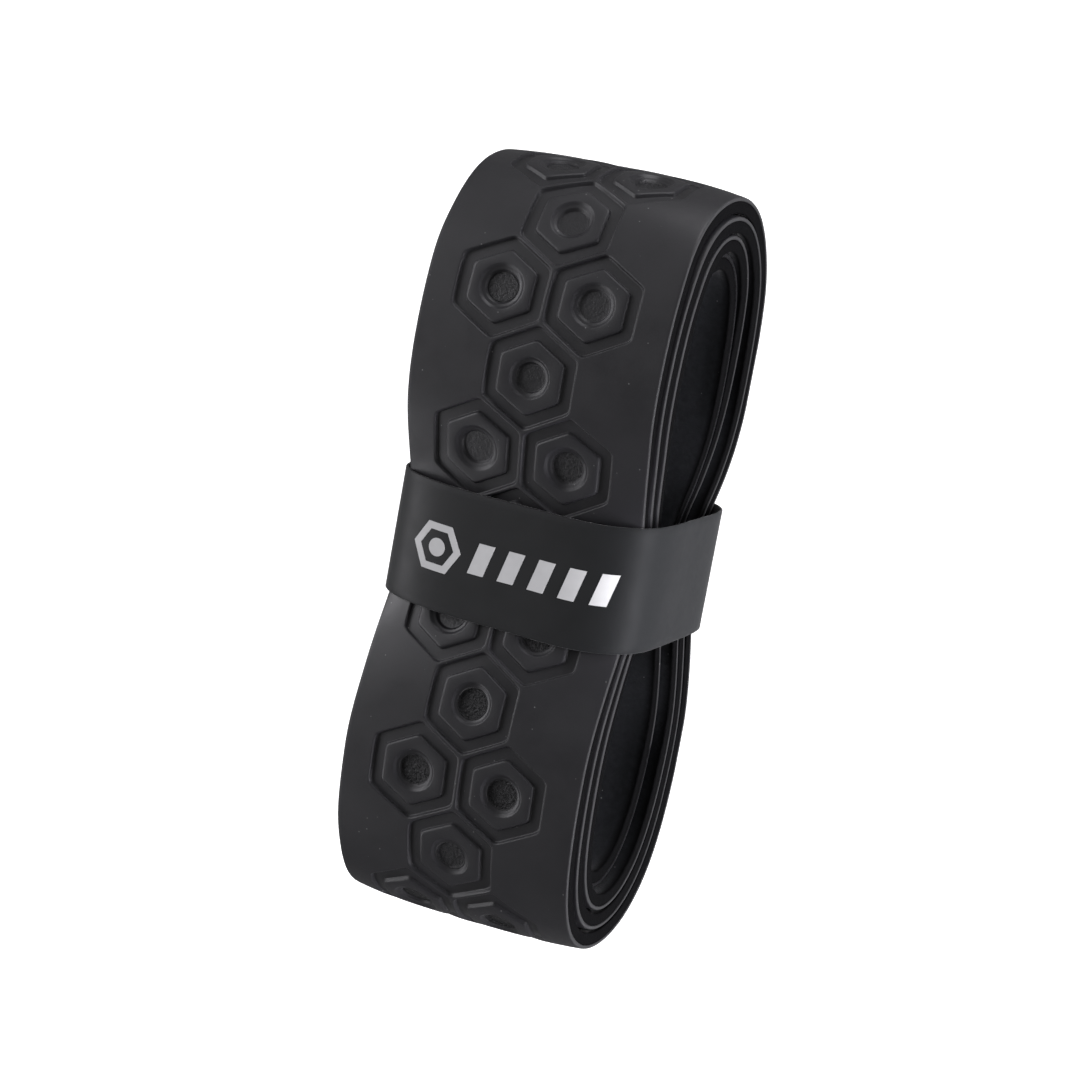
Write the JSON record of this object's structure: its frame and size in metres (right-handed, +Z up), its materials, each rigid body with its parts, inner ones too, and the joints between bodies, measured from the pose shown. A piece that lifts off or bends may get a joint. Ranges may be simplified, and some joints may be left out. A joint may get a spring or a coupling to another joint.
{
  "type": "racket grip tape roll",
  "caption": "Racket replacement grip tape wound flat into a roll, with an embossed outer film and felt backing, held by a slide-off retail band.",
  "frame": {"origin": "centre of the roll's outline, on the surface it lies on", "axes": "+X across the tape's width, +Y along the roll's long axis, +Z up through the printed face of the band"},
  "size_m": [0.0308, 0.0846, 0.0295],
  "materials": {
    "skin": "matte embossed polyurethane film",
    "felt": "black needled felt",
    "adhesive": "thin pressure-sensitive adhesive",
    "liner": "thin release film",
    "band": "matte coated card",
    "glue": "dried glue",
    "ink": "light grey printed ink"
  },
  "bodies": {
    "roll": {"grip_skin": "skin", "grip_backing": "felt", "adhesive_strip": "adhesive", "release_liner": "liner"},
    "band": {"band_sleeve": "band", "band_glue": "glue", "print_badge": "ink", "print_bars": "ink"}
  },
  "joints": [
    {"name": "band_slide", "type": "slide", "parent": "roll", "child": "band", "axis": [0, 1, 0], "range_m": [-0.055, 0.055], "deforming": ["grip_skin", "grip_backing", "adhesive_strip", "release_liner"]}
  ]
}
